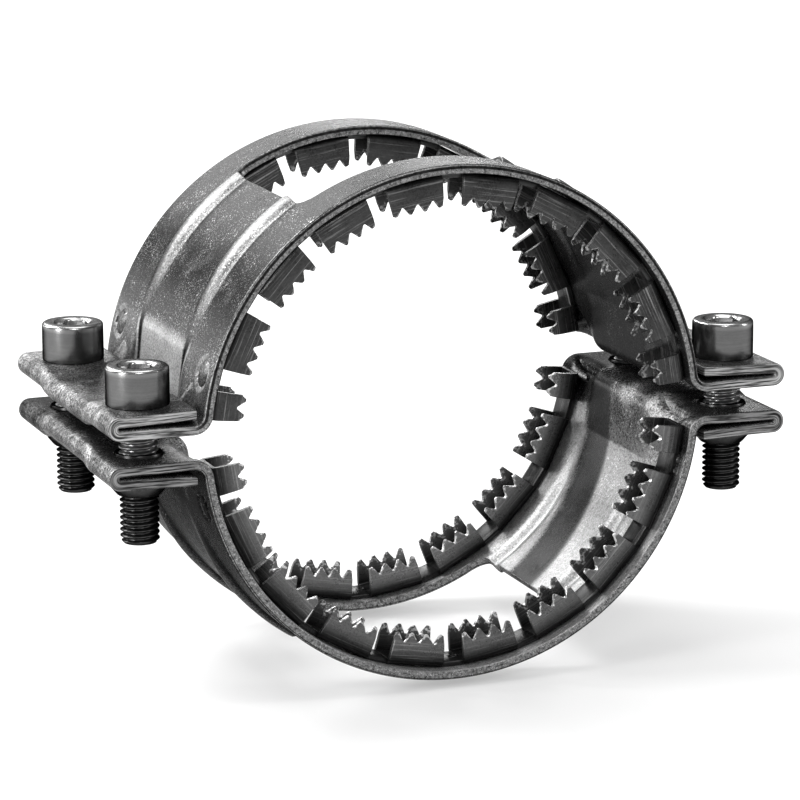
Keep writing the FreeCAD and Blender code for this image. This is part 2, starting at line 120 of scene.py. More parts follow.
class Finish:
    """One procedural material."""

    def __init__(self, name):
        self.material = bpy.data.materials.new(name)
        self.material.use_nodes = True
        self.tree = self.material.node_tree
        self.tree.nodes.clear()

    def node(self, kind, settings={}, inputs={}, output=0):
        """Adds a node: first its settings, then the values or links of its sockets."""
        node = self.tree.nodes.new(kind)
        for name, setting in settings.items():
            setattr(node, name, setting)
        for name, value in inputs.items():
            if isinstance(value, Value):
                self.tree.links.new(value.socket, node.inputs[name])
            else:
                node.inputs[name].default_value = value
        return Value(self, node.outputs[output]) if node.outputs else None

    def mark(self, name):
        """A number that the piece's points carry."""
        return self.node("ShaderNodeAttribute", {"attribute_name": name}, output="Fac")

    def grain(self, scale=(1.0, 1.0, 1.0), shift=(0.0, 0.0, 0.0)):
        """The piece's own coordinates in millimetres, stretched and shifted."""
        own = self.node("ShaderNodeAttribute", {"attribute_name": "grain"}, output="Vector")
        return self.node("ShaderNodeMapping", inputs={
            "Vector": own, "Scale": scale, "Location": shift}, output="Vector")

    def noise(self, vector, scale, detail, roughness=0.5):
        return self.node("ShaderNodeTexNoise", inputs={
            "Vector": vector, "Scale": scale, "Detail": detail, "Roughness": roughness},
            output="Fac")

    def cells(self, vector, scale):
        return self.node("ShaderNodeTexVoronoi", inputs={"Vector": vector, "Scale": scale},
                         output="Distance")

    def scratches(self, turn, density, length, shift):
        """Thin bright lines, mostly one way, where a coarser noise is above the density."""
        along = self.node("ShaderNodeMapping", inputs={
            "Vector": self.grain(shift=(shift, shift * 0.7, 0)),
            "Rotation": (0, 0, turn), "Scale": (length, 1.6, 1.0)}, output="Vector")
        lines = self.noise(along, 1.7, 3.0, 0.6)
        places = self.noise(self.grain(shift=(shift, 0, 0)), 0.12, 2.0)
        return lines.step(0.50, 0.485) * lines.step(0.455, 0.485) \
            * places.step(density, density + 0.12)

    def shade(self, sockets):
        """Ends the material with a shader that has these sockets."""
        shader = self.node("ShaderNodeBsdfPrincipled", inputs=sockets)
        self.node("ShaderNodeOutputMaterial", inputs={"Surface": shader})
        return self.material

    def metal(self, colour, roughness, relief, depth, metallic=1.0):
        """Ends the material as metal with a fine relief, whose depth is in millimetres."""
        normal = self.node("ShaderNodeBump", inputs={
            "Strength": 1.0, "Distance": depth * MM, "Height": relief}, output="Normal")
        return self.shade({"Base Color": colour, "Roughness": roughness, "Metallic": metallic,
                           "Specular Tint": (0.06, 0.06, 0.06, 1), "Normal": normal})


def shell_finish(name, shift, painted_band_from, ear_edge_light):
    """Dull plated sheet: finely speckled and worn, with painted highlights, painted shade and
    painted dark reflections in places, and cut edges.

    Marks: rim is 1 on the cut edges, lift the height above the sheet's middle, ear 1 past the
    bend, bent where the plating flakes and, on the lower shell, where painted highlight specks lie
    at the inner bend; the highlight mark is 1 where a highlight is painted, shade where shade is
    painted and the dark-reflection mark where an even dark reflection is painted.
    """
    f = Finish(name)
    rim, lift, ear, bent = [f.mark(label) for label in ("rim", "lift", "ear", "bent")]
    shine, shade, painted_dark_reflection = [f.mark(label) for label in ("shine", "shade", "painted_dark_reflection")]
    clouds = f.noise(f.grain(shift=(shift, 0, 0)), 0.05, 3.0, 0.55)
    patches = f.noise(f.grain(shift=(0, shift, 0)), 0.13, 3.0, 0.6)
    grit = f.noise(f.grain(shift=(0, 0, shift)), 1.7, 4.0, 0.8)
    cloudy, patchy, gritty = clouds - 0.5, patches - 0.5, grit - 0.5
    speck = f.cells(f.grain(shift=(shift, shift, 0)), 0.75).step(0.22, 0.10)
    dust = f.cells(f.grain(shift=(0, shift, shift)), 1.9).step(0.30, 0.14)
    flakes = f.noise(f.grain((2.2, 2.2, 2.2)), 1.0, 4.0, 0.9).step(0.40, 0.68)
    streaks = f.noise(f.grain((0.09, 0.09, 3.2)), 1.0, 3.0, 0.7).step(0.40, 0.62)
    torn = f.noise(f.grain(shift=(shift, 9, 0)), 1.1, 4.0, 0.8)

    worn = patches.step(0.42, 0.62)
    specks = speck * worn + dust * (0.4 + 0.6 * worn)
    scratched = f.scratches(0.25, 0.50, 0.07, shift) + f.scratches(-0.6, 0.54, 0.10, shift + 40)
    # Flaking plating where bent is set; at the lower shell's inner bend the same flakes also stand
    # for painted highlight specks.
    peel_and_painted_flecks = flakes * bent * (0.7 + 0.6 * worn)

    plate = 0.075 + 0.06 * cloudy + 0.05 * patchy + 0.32 * gritty \
        + 0.34 * specks + 0.14 * scratched + (0.16 + 0.3 * patches) * peel_and_painted_flecks
    # Painted light: the shade mark darkens the plate as painted shade, the highlight mark adds
    # painted highlights and the dark-reflection mark lays an even painted dark reflection.
    plate = plate * (1.0 - 0.85 * shade) + (0.18 + 0.55 * gritty) * shine * (0.7 + 0.6 * patches)
    plate = plate * (1.0 - painted_dark_reflection) + (0.05 + 0.03 * gritty) * painted_dark_reflection

    # The ears are cut with long streaks; elsewhere a dark band, a painted reflection, lies above a
    # torn one.
    painted_dark_band = lift.step(painted_band_from, painted_band_from + 0.12) * lift.step(0.84, 0.72) * (1.0 - ear)
    cut = ear_edge_light * (0.03 + 0.46 * streaks) * ear \
        + (0.17 + 1.0 * (torn - 0.5) + 0.3 * dust) * (1.0 - ear)
    dull = 0.27 + 0.08 * cloudy + 0.06 * patchy + 0.22 * gritty \
        + 0.12 * specks + 0.14 * peel_and_painted_flecks + 0.10 * shine
    return f.metal(
        colour=plate * (1.0 - rim) + cut * (1.0 - 0.9 * painted_dark_band) * rim,
        roughness=dull * (1.0 - rim) + 0.40 * rim,
        relief=grit - specks * 0.4 - scratched * 0.3 + peel_and_painted_flecks * 0.8, depth=0.022,
        metallic=0.85 + 0.15 * shade - 0.45 * shine - 0.25 * peel_and_painted_flecks)


def grip_finish(name, shift, painted_tip_light, painted_root_tone, glint_tone):
    """Hardened strip steel: dark drawn faces with torn tips, and painted light: a paler tip zone,
    painted glints along the teeth, and the blades' upper part painted lighter on the upper strips
    and darker, as painted shade, on the lower ones.

    Marks: rim is 1 on the teeth and fades out above them, bent is 1 at the very teeth and
    shade 1 on the blades' upper part.
    """
    f = Finish(name)
    tip, bevel, root = f.mark("rim"), f.mark("bent"), f.mark("shade")
    clouds = f.noise(f.grain(shift=(shift, 0, 0)), 0.16, 3.0, 0.6)
    streaks = f.noise(f.grain((0.05, 2.2, 2.2), (shift, 0, 0)), 1.0, 4.0, 0.7)
    grit = f.noise(f.grain(), 1.8, 4.0, 0.75)
    spots = f.noise(f.grain(shift=(0, shift, 0)), 0.9, 2.0, 0.6)
    cloudy, gritty = clouds - 0.5, grit - 0.5
    # Painted glints along the toothed edge; below, the tip zone is painted paler and the blades'
    # upper part painted lighter or darker as each strip's tones set.
    glint = spots.step(0.50, 0.56) * bevel.step(0.70, 0.86)
    drawn = 0.036 + 0.05 * cloudy + 0.17 * streaks.step(0.52, 0.72) + 0.05 * gritty
    return f.metal(
        colour=drawn * (1.0 + painted_root_tone * root) + painted_tip_light * tip * (0.4 + 1.2 * grit)
        + glint_tone * glint,
        roughness=0.30 + 0.2 * cloudy + 0.15 * gritty,
        relief=streaks + grit * 0.6, depth=0.03,
        metallic=0.72 - 0.8 * painted_tip_light * tip)


def screw_finish(name):
    """Bright turned heads on dark threads; rim is 1 on the shank. A highlight is painted on the
    head's top, in its socket and on the shank between the ears.
    """
    f = Finish(name)
    shank = f.mark("rim")
    cloudy = f.noise(f.grain(), 0.22, 3.0, 0.6) - 0.5
    turned = f.noise(f.grain((0.1, 0.1, 3.0)), 1.0, 2.0, 0.5)
    grit = f.noise(f.grain(), 2.2, 3.0, 0.7)
    gritty = grit - 0.5
    head = 0.14 + 0.05 * cloudy + 0.06 * (turned - 0.5) + 0.05 * gritty
    thread = 0.055 + 0.06 * cloudy
    # The highlight mark adds the painted highlight.
    return f.metal(
        colour=head * (1.0 - shank) + thread * shank + 0.24 * f.mark("shine"),
        roughness=0.25 + 0.06 * cloudy + 0.06 * gritty + 0.08 * shank,
        relief=turned * 0.5 + grit * 0.5, depth=0.012)


def nut_finish(name):
    """Dark plated steel."""
    f = Finish(name)
    cloudy = f.noise(f.grain(), 0.3, 3.0, 0.6) - 0.5
    grit = f.noise(f.grain(), 1.8, 3.0, 0.7)
    return f.metal(
        colour=0.045 + 0.05 * cloudy + 0.04 * (grit - 0.5),
        roughness=0.30 + 0.2 * cloudy,
        relief=grit, depth=0.02)


# ---- meshes

def add_piece(name, points, faces, finish, body, slot, node, grain, sharp_angle, **marks):
    """Makes a piece; grain is its points' own coordinates and marks their numbers."""
    mesh = bpy.data.meshes.new(name)
    mesh.from_pydata((np.asarray(points) * MM).tolist(), [], faces)
    mesh.validate()
    mesh.polygons.foreach_set("use_smooth", [True] * len(mesh.polygons))
    mesh.set_sharp_from_angle(angle=math.radians(sharp_angle))
    layer = mesh.attributes.new("grain", "FLOAT_VECTOR", "POINT")
    layer.data.foreach_set("vector", np.asarray(grain, np.float32).ravel())
    for label, values in marks.items():
        layer = mesh.attributes.new(label, "FLOAT", "POINT")
        layer.data.foreach_set("value", np.asarray(values, np.float32))
    mesh.materials.append(finish)
    piece = bpy.data.objects.new(name, mesh)
    bpy.context.scene.collection.objects.link(piece)
    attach(piece, body)
    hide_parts(node)


def take_mesh(bm):
    """The bmesh's points and faces; the bmesh is freed.

    The operators leave the faces in an order that changes from run to run, so they are sorted.
    """
    bm.verts.index_update()
    points = np.array([tuple(v.co) for v in bm.verts])
    faces = sorted([v.index for v in f.verts] for f in bm.faces)
    bm.free()
    return points, faces


def spin_profile(bm, profile, centre, axis, steps, whole=False):
    """Turns a line of (radius, height) about an axis through the centre.

    whole joins the line's two ends.
    """
    line = [bm.verts.new(centre + Vector((r, h, 0) if axis == "Y" else (r, 0, h)))
            for r, h in profile]
    pairs = list(zip(line, line[1:] + line[:1] if whole else line[1:]))
    geom = line + [bm.edges.new(pair) for pair in pairs]
    bmesh.ops.spin(bm, geom=geom, cent=centre, axis=(0, axis == "Y", axis == "Z"),
                   dvec=(0, 0, 0), angle=2 * math.pi, steps=steps,
                   use_merge=True, use_duplicate=False)
    bmesh.ops.recalc_face_normals(bm, faces=bm.faces)


def turned_over(points):
    """The lower half is the upper one, turned half round about the pipe's axis."""
    return points * np.array([-1, 1, -1])


def smooth(x):
    """0 up to 0, 1 from 1 on, smooth between."""
    x = np.clip(x, 0, 1)
    return x * x * (3 - 2 * x)


def hump(x):
    """1 at 0, 0 from 1 on to both sides, smooth."""
    return smooth(1 - np.abs(x))


def eased_part(x, ease):
    """x where it is positive, else 0, with the corner eased."""
    return 0.5 * (x + np.sqrt(x * x + ease * ease))


# ---- the pressed shells, unrolled: u runs along the sheet from the crown, v along the pipe

def arc_points(centre, radius, start, end, count):
    angles = np.linspace(start, end, count)
    return np.stack([centre[0] + radius * np.cos(angles), centre[1] + radius * np.sin(angles)], 1)


def section(step):
    """Middle line of the right half of the sheet, crown to the end of the folded layer.

    Its six parts are the crown, the wall, the bend, the ear, the fold and the hem.
    """
    bend = BEND + SHEET / 2
    level = GAP + SHEET + BEND
    reach = math.sqrt((BORE + SHEET + BEND) ** 2 - (level + OVERLAP) ** 2)
    turn = (reach - step, level - step)
    start = math.radians(STEP_ANGLE)
    crown = arc_points((0, -OVERLAP), MID, math.pi / 2, start, CROWN_STEPS)
    if step:
        way = crown[-1] - np.array(turn)
        meet = math.atan2(way[1], way[0]) + math.acos(bend / np.hypot(*way))
        touch = arc_points(turn, bend, meet, meet, 1)
        wall = crown[-1] + (touch - crown[-1]) * np.linspace(0, 1, BEND_STEPS)[:, None]
    else:
        lean = math.asin((level + OVERLAP) / (BORE + SHEET + BEND))
        meet = lean + math.pi
        wall = arc_points((0, -OVERLAP), MID, start, lean, BEND_STEPS)
    low = turn[1] - bend
    fold_radius = (SLIT + SHEET) / 2
    fold = (EAR_REACH - fold_radius - SHEET / 2, low + fold_radius)
    corner = arc_points(turn, bend, meet, math.pi * 1.5, BEND_STEPS)
    ear = np.stack([np.linspace(turn[0], fold[0], EAR_STEPS), np.full(EAR_STEPS, low)], 1)
    back = arc_points(fold, fold_radius, -math.pi / 2, math.pi / 2, BEND_STEPS)
    run = np.linspace(0, 1, HEM_STEPS)
    hem = np.stack([fold[0] + (HEM_END - fold[0]) * run,
                    low + 2 * fold_radius + HEM_RISE * run ** 2], 1)
    return [crown, wall[1:], corner[1:], ear[1:], back[1:], hem[1:]]


PLAIN, SET = section(0), section(STEP_DEPTH)
LINE_PLAIN, LINE_SET = np.concatenate(PLAIN), np.concatenate(SET)
RUN = np.concatenate([[0], np.cumsum(np.hypot(*np.diff(LINE_PLAIN, axis=0).T))])
ENDS = np.cumsum([len(part) for part in PLAIN]) - 1
U_BEND, U_EAR, U_FOLD, U_END = RUN[ENDS[2:]]
HALF_U, HALF_V = U_END - RIM, WIDTH / 2 - RIM
WINDOW_U = MID * math.radians(WINDOW_ANGLE)


def middle(a, v):
    """Point and outward direction of the sheet's middle, in the section plane, for a >= 0.

    Across the ramp the plain line goes over to the set-in one, nearly straight.
    """
    ramp = (STEP_FLAT + STEP_RAMP - np.abs(v)) / STEP_RAMP
    share = 0.3 * smooth(ramp) + 0.7 * np.clip(ramp, 0, 1)

    def at(b):
        return [np.interp(b, RUN, LINE_PLAIN[:, k]) * (1 - share)
                + np.interp(b, RUN, LINE_SET[:, k]) * share for k in (0, 1)]

    x, z = at(a)
    x1, z1 = at(np.clip(a + 0.3, 0, U_END))
    x0, z0 = at(np.clip(a - 0.3, 0, U_END))
    tx, tz = x1 - x0, z1 - z0
    size = np.hypot(tx, tz)
    return x, z, -tz / size, tx / size


def pressed(a, v):
    """How far the sheet is pressed outwards: beads, clinch marks, and darts at the bend."""
    w = np.abs(v)
    angle = 90 - np.degrees(a / MID)
    bead = BEAD_HEIGHT * hump((w - BEAD_PLACE) / BEAD_SPREAD) \
        * smooth((angle - STEP_ANGLE) / BEAD_EASE_ANGLE)
    far = np.hypot(a - CLINCH_RUN, w - CLINCH_PLACE)
    clinch = -CLINCH_SINK * hump((far - CLINCH_RING) / CLINCH_GROOVE) + 0.25 * hump(far / 2.6)
    down = (a - MID * math.radians(90 - DART_ANGLE)) / DART_RUN
    dart = eased_part(DART_HEIGHT * down - DART_FLANK * np.abs(w - DART_PLACE), DART_EASE) \
        * (down > -0.4)
    dart = np.minimum(dart, DART_HEIGHT) * smooth((U_BEND + 0.4 - a) / 2.6)
    return bead + clinch + dart


def closed(u):
    """How much thicker the slit's faces stand near the fold, where the hem is pressed shut."""
    a = np.abs(u)
    near = np.minimum(smooth((a - U_BEND) / 6), smooth((U_END - a) / 6))
    pinch = hump((a - (U_EAR + U_FOLD) / 2) / (U_FOLD - U_BEND))
    return near * (SLIT_CLOSED + SLIT_PINCHED * pinch)


def sheet_point(u, v):
    a = np.clip(np.abs(u), 0, U_END)
    x, z, nx, nz = middle(a, v)
    h = pressed(a, v)
    return np.stack([np.sign(u + 1e-12) * (x + nx * h), v, z + nz * h], -1)


def sheet_normal(u, v):
    e = 0.15
    du = sheet_point(u + e, v) - sheet_point(u - e, v)
    dv = sheet_point(u, v + e) - sheet_point(u, v - e)
    n = np.cross(du, dv)
    return n / np.linalg.norm(n, axis=-1, keepdims=True)


def rounded_box(u, v, half_u, half_v, corner):
    """Distance outside a rounded rectangle, negative inside."""
    du, dv = np.abs(u) - half_u + corner, np.abs(v) - half_v + corner
    return np.hypot(np.maximum(du, 0), np.maximum(dv, 0)) \
        + np.minimum(np.maximum(du, dv), 0) - corner


def hole_places():
    """The four holes through the ears and the four through the layers folded back over them."""
    ear = U_BEND + (SCREW_REACH - LINE_PLAIN[ENDS[2], 0])
    top = U_FOLD + (LINE_PLAIN[ENDS[4], 0] - SCREW_REACH)
    return [(side * u, way * SCREW_PLACE)
            for u in (ear, top) for side in (-1, 1) for way in (-1, 1)]


def opening_distance(u, v, hole):
    """Distance from the nearest of the window and the holes, negative inside them."""
    d = rounded_box(u, v, WINDOW_U, WINDOW_HALF, WINDOW_CORNER)
    for cu, cv in hole_places():
        d = np.minimum(d, np.hypot(u - cu, v - cv) - hole)
    return d


def sheet_lines():
    """The u and v of the mesh's lines.

    They lie closer along the pipe over the ramps, beads and clinch marks, and closer along the
    sheet over the clinch marks and darts.
    """
    fine = np.concatenate([np.arange(0, FINE_FROM, COARSE), np.arange(FINE_FROM, FINE_TO, FINE),
                           np.arange(FINE_TO, HALF_V - 0.4, PLAIN_EDGE)])
    close = np.arange(MID * math.radians(CLOSE_ANGLE), U_BEND, CLOSE)
    knots = np.concatenate([RUN[RUN < close[0] - 0.2], close,
                            RUN[(RUN > close[-1] + 0.3) & (RUN < HALF_U - 0.3)]])
    return [np.concatenate([-half[:0:-1], half]) for half in (knots, fine)]


def border_outline(u_lines, v_lines):
    """Closed outline of the sheet; each row is (u, v) and the way that leads off the sheet."""
    border = [(u, -HALF_V, 0, -1) for u in u_lines] + [(HALF_U, -HALF_V, 0.7, -0.7)]
    border += [(HALF_U, v, 1, 0) for v in v_lines] + [(HALF_U, HALF_V, 0.7, 0.7)]
    border += [(u, HALF_V, 0, 1) for u in u_lines[::-1]] + [(-HALF_U, HALF_V, -0.7, 0.7)]
    border += [(-HALF_U, v, -1, 0) for v in v_lines[::-1]] + [(-HALF_U, -HALF_V, -0.7, -0.7)]
    return np.array(border, float)


def window_outline():
    """The same for the window, whose four corners are rounded."""
    corner = WINDOW_CORNER + EDGE
    cu, cv = WINDOW_U + EDGE - corner, WINDOW_HALF + EDGE - corner
    corners = [(1, 1), (-1, 1), (-1, -1), (1, -1)]
    window = []
    for k, (su, sv) in enumerate(corners):
        first, last = k * math.pi / 2, (k + 1) * math.pi / 2
        for t in np.linspace(first, last, CORNER_STEPS):
            window.append((su * cu + corner * math.cos(t), sv * cv + corner * math.sin(t),
                           -math.cos(t), -math.sin(t)))
        ahead = corners[(k + 1) % 4]
        start, end = np.array(window[-1]), np.array([ahead[0] * cu, ahead[1] * cv])
        end = end + corner * np.array([math.cos(last), math.sin(last)])
        steps = int(np.hypot(*(end - start[:2])) / PLAIN_EDGE)
        for t in np.linspace(0, 1, steps + 1)[1:-1]:
            p = start[:2] * (1 - t) + end * t
            window.append((p[0], p[1], start[2], start[3]))
    return np.array(window[::-1], float)


def hole_outline(cu, cv, hole):
    """The same for a round hole."""
    t = np.linspace(0, 2 * math.pi, HOLE_STEPS, endpoint=False)[::-1]
    return np.stack([cu + (hole + EDGE) * np.cos(t), cv + (hole + EDGE) * np.sin(t),
                     -np.cos(t), -np.sin(t)], 1)


def edge_profile(reach, outer_round, inner_round):
    """The cut edge from the outer face round to the inner one, as (way out, lift)."""
    profile = []
    for side, radius in ((1, outer_round), (-1, inner_round)):
        turns = np.linspace(0, math.pi / 2, 6 if radius > 0.5 else 4)
        bits = [(reach - radius + radius * math.sin(t),
                 side * HALF_SHEET - side * radius * (1 - math.cos(t))) for t in turns]
        profile += bits[::side]
    return profile


def flat_mesh(outlines, inner, hole):
    """Triangles between the outlines through the inner points, in (u, v).

    It gives the points, the triangles and, for each outline, its places among the points.
    """
    flat = [outline[:, :2] for outline in outlines]
    starts = np.cumsum([0] + [len(f) for f in flat])
    edges = []
    for start, outline in zip(starts, flat):
        count = len(outline)
        edges += [(start + i, start + (i + 1) % count) for i in range(count)]
    every = np.concatenate(flat + [inner])
    points, _, triangles, origin, _, _ = delaunay_2d_cdt(
        [Vector(p) for p in every], edges, [], 0, 1e-6)
    place = {old: new for new, olds in enumerate(origin) for old in olds}
    places = [np.array([place[start + i] for i in range(len(outline))])
              for start, outline in zip(starts, flat)]
    uv = np.array([tuple(p) for p in points])
    triangles = np.array(triangles)
    u, v = uv[triangles].mean(1).T
    inside = (opening_distance(u, v, hole) > EDGE - 0.05) & (np.abs(u) < HALF_U) \
        & (np.abs(v) < HALF_V)
    return uv, triangles[inside], places


def lower_marks(run, v, outer, inner):
    """Marks on the lower shell: highlights are painted on its inside to either side of a dark
    band, a painted reflection, that runs across it; painted shade darkens its outside and the rear
    end of its inside, and painted highlight specks are laid at its inner bend through the bend
    mark.

    All places and widths are millimetres along the sheet and along the pipe.
    """
    before_bend = smooth((U_BEND - run) / 4)
    drift = v - 5 - (run - 61) * 0.235
    rear = 0.85 * smooth((drift - 7) / 4) * smooth((95 - run) / 20)
    front = 0.85 * smooth(-(drift + 5) / 3) * smooth((92 - run) / 26)
    # Painted highlights on the inside, behind and in front of the dark band.
    shine = inner * smooth((U_BEND - run) / 5) * (rear + front)
    # Painted shade on the outside and at the rear end of the inside.
    shade = np.where(outer, 0.65 * before_bend,
                     0.7 * smooth((v - 20) / 6) * smooth((run - 86) / 6))
    # The dark band is a painted dark reflection.
    painted_dark_reflection = inner * (smooth((8.5 - np.abs(drift)) / 2.5) * before_bend)
    # Painted highlight specks at the inner bend, carried by the bend mark.
    highlight_spread = 0.35 + 2.2 * hump((v + 21) / 8) + 0.9 * hump((v + 4) / 7)
    bent = inner * hump((run - U_BEND + 2) / 8) * highlight_spread * smooth((14 - v) / 8)
    return shine, shade, painted_dark_reflection, bent


def upper_marks(run, v, outer, inner):
    """The same on the upper shell: highlights are painted on the set-in wall, the creases, the
    darts' facets and round the clinch marks; shade is painted on the ramps and a dark reflection
    inside.
    """
    w = np.abs(v)
    at_bend = smooth((U_BEND + 1 - run) / 2)
    # Painted highlights: a flat patch on the set-in wall, a line along each crease, a faint band
    # beyond it, the darts' facets and a ring round each clinch mark.
    wall = outer * smooth((run - 78.6) / 5) * at_bend
    ramp = 21.6 - 2.2 * smooth((run - 79) / 12)
    flat = wall * smooth((18.2 - w) / 1.5)
    crease = wall * hump((w - ramp) / 0.9)
    side = 0.2 * outer * smooth((run - 78) / 6) * smooth((w - ramp) / 1.5)
    facet = outer * smooth((run - CLINCH_RUN - 3) / 4) * at_bend \
        * hump((w - DART_PLACE + 2.2) / 2.6)
    far = np.hypot(run - CLINCH_RUN, w - CLINCH_PLACE)
    round_mark = outer * hump((far - 4.1) / 0.9)
    shine = np.max([flat, side, 1.2 * crease, 1.5 * facet, 1.1 * round_mark], axis=0)
    # Painted shade on the ramps; an even painted dark reflection over the inside up to the bend.
    shade = 0.8 * wall * smooth((w - 17.2) / 1.2) * smooth((ramp - 0.5 - w) / 0.8)
    painted_dark_reflection = 0.8 * inner * smooth((U_BEND - run) / 4)
    return shine, shade, painted_dark_reflection, 0.0 * run


def shell_marks(grain, turned):
    """The numbers that tell the shell's finish where it is bent and where highlights, shade and
    dark reflections are painted.
    """
    run, v, lift = np.abs(grain[:, 0]), grain[:, 1], grain[:, 2]
    outer, inner = lift > 0, (lift < 0).astype(float)
    angle = 90 - np.degrees(run / MID)
    # A highlight is painted along each bead on the outside.
    bead = outer * 0.75 * hump((np.abs(v) - BEAD_PLACE) / 3.4) * smooth((angle - STEP_ANGLE) / 36)
    bend = smooth((run - U_EAR + 2) / 4) * (1 - 0.6 * smooth((run - U_FOLD - 2) / 6))
    shine, shade, painted_dark_reflection, bent = (lower_marks if turned else upper_marks)(run, v, outer, inner)
    return {"bent": np.maximum(bend, bent), "shade": shade, "painted_dark_reflection": painted_dark_reflection, "lift": lift,
            "shine": bead + shine if turned else np.maximum(bead, shine),
            "ear": smooth((run - U_BEND + 3) / 5)}


def make_shell(name, node, finish, hole, turned, body):
    u_lines, v_lines = sheet_lines()
    uu, vv = [g.ravel() for g in np.meshgrid(u_lines, v_lines)]
    keep = opening_distance(uu, vv, hole) > EDGE + 0.42
    outlines = [border_outline(u_lines, v_lines), window_outline()]
    outlines += [hole_outline(cu, cv, hole) for cu, cv in hole_places()]
    uv, triangles, places = flat_mesh(outlines, np.stack([uu[keep], vv[keep]], 1), hole)

    # The two faces of the sheet. The inner one's grain is set apart, so its pattern differs.
    count = len(uv)
    sheet, normal = sheet_point(uv[:, 0], uv[:, 1]), sheet_normal(uv[:, 0], uv[:, 1])
    swell = closed(uv[:, 0])
    points = [sheet + normal * (HALF_SHEET + swell)[:, None], sheet - normal * HALF_SHEET]
    grain = [np.c_[uv, np.full(count, HALF_SHEET)], np.c_[uv, np.full(count, -HALF_SHEET) - 20]]
    rim = [np.zeros(count), np.zeros(count)]
    faces = triangles.tolist() + (triangles[:, ::-1] + count).tolist()

    # The cut edges, row by row round each outline from the outer face to the inner one.
    total = 2 * count
    for outline, ids in zip(outlines, places):
        reach, rounds = (RIM, RIM_ROUNDS) if outline is outlines[0] else (EDGE, EDGE_ROUNDS)
        rows = [ids]
        for out, lift in edge_profile(reach, *rounds):
            u, v = outline[:, 0] + outline[:, 2] * out, outline[:, 1] + outline[:, 3] * out
            above = closed(u) * (lift > 0)
            points.append(sheet_point(u, v) + sheet_normal(u, v) * (lift + above)[:, None])
            grain.append(np.c_[u, v, np.full(len(u), lift)])
            rim.append(np.full(len(u), 1.0 if out > reach - 0.2 else 0.0))
            rows.append(np.arange(total, total + len(u)))
            total += len(u)
        rows.append(ids + count)
        for upper, lower in zip(rows, rows[1:]):
            faces += np.stack([upper, lower, np.roll(lower, -1), np.roll(upper, -1)], 1).tolist()

    points, grain = np.concatenate(points), np.concatenate(grain)
    add_piece(name, turned_over(points) if turned else points, faces, finish, body,
              "shell_steel", node, grain, 50.0, rim=np.concatenate(rim),
              **shell_marks(grain, turned))


# ---- toothed strips: drawn as (t, r, y) with t along the segment and r from the pipe axis

TOOTH_STEPS = (0.0, 0.06, 0.25, 0.38, 0.42, 0.5, 0.58, 0.62, 0.75, 0.94)


def blade(base, lean, teeth, side):
    """Corner points of one blade, a row for each step along its teeth; side is +1 or -1 in y."""
    half, crease = STRIP_WIDTH / 2, TIP_LEVEL + TOOTH_DEPTH
    reach = teeth * TOOTH_PITCH / 2
    limit = (TIP_LEVEL + TOOTH_DEPTH * 0.5) * lean
    steps = [(-reach + (k + s) * TOOTH_PITCH, s) for k in range(teeth) for s in TOOTH_STEPS]
    columns = []
    for t, s in steps + [(reach, 1.0)]:
        # Valleys lie at the whole pitches, blunt tips half a pitch in.
        depth = TOOTH_DEPTH * (abs(2 * s - 1) - 0.17) / 0.74
        if abs(t) < limit - 0.2:
            columns.append((t, TIP_LEVEL + np.clip(depth, 0, TOOTH_DEPTH - 0.25)))
    along, lows = zip(*columns)
    ends = [(t, np.interp(t, along, lows)) for t in (-limit, limit)]
    rows = []
    for t, low in ends[:1] + columns + ends[1:]:
        share = t / limit
        thin = half - STRIP_SHEET + BLADE_EDGE \
            + (STRIP_SHEET - BLADE_EDGE) * (low - TIP_LEVEL) / TOOTH_DEPTH
        corners = [(base - STRIP_BEND, half), (crease, half), (low, min(thin, half)),
                   (low, half - STRIP_SHEET)]
        rows.append([(share * r * lean, r, side * y) for r, y in corners])
    return rows


def segment_mesh(half_angle, teeth):
    """A straight channel with two toothed blades, with eased edges."""
    base = SEAT * math.cos(math.radians(half_angle))
    lean = math.tan(math.radians(half_angle))
    half, inner = STRIP_WIDTH / 2, base - STRIP_SHEET
    turns = [math.pi / 2 * k / 6 for k in range(1, 6)]
    bends = [(base - STRIP_BEND * (1 - math.sin(a)), half - STRIP_BEND * (1 - math.cos(a)))
             for a in turns]
    outside = bends + [(base, half - STRIP_BEND), (base, -half + STRIP_BEND)]
    outside += [(r, -y) for r, y in bends[::-1]]
    inside = [(inner, -half + STRIP_SHEET), (inner, half - STRIP_SHEET)]

    bm = bmesh.new()
    sections = []
    for left, right in zip(blade(base, lean, teeth, -1), blade(base, lean, teeth, 1)):
        share = left[1][0] / (left[1][1] * lean)
        ring = [right[2], right[1], right[0]]
        ring += [(share * r * lean, r, y) for r, y in outside] + left
        ring += [(share * r * lean, r, y) for r, y in inside] + [right[3]]
        sections.append([bm.verts.new(p) for p in ring])
    for a, b in zip(sections, sections[1:]):
        for i in range(len(a)):
            j = (i + 1) % len(a)
            bm.faces.new([a[i], b[i], b[j], a[j]])
    bm.faces.new(sections[0])
    bm.faces.new(sections[-1][::-1])
    bmesh.ops.recalc_face_normals(bm, faces=bm.faces)
    crisp = [e for e in bm.edges
             if len(e.link_faces) == 2 and e.calc_face_angle(0) > math.radians(24)]
    bmesh.ops.bevel(bm, geom=crisp, offset=BLADE_BEVEL, offset_type="OFFSET", segments=1,
                    profile=0.5, affect="EDGES", material=-1, clamp_overlap=True)
    bmesh.ops.triangulate(bm, faces=[f for f in bm.faces if len(f.verts) > 4])
    return take_mesh(bm)


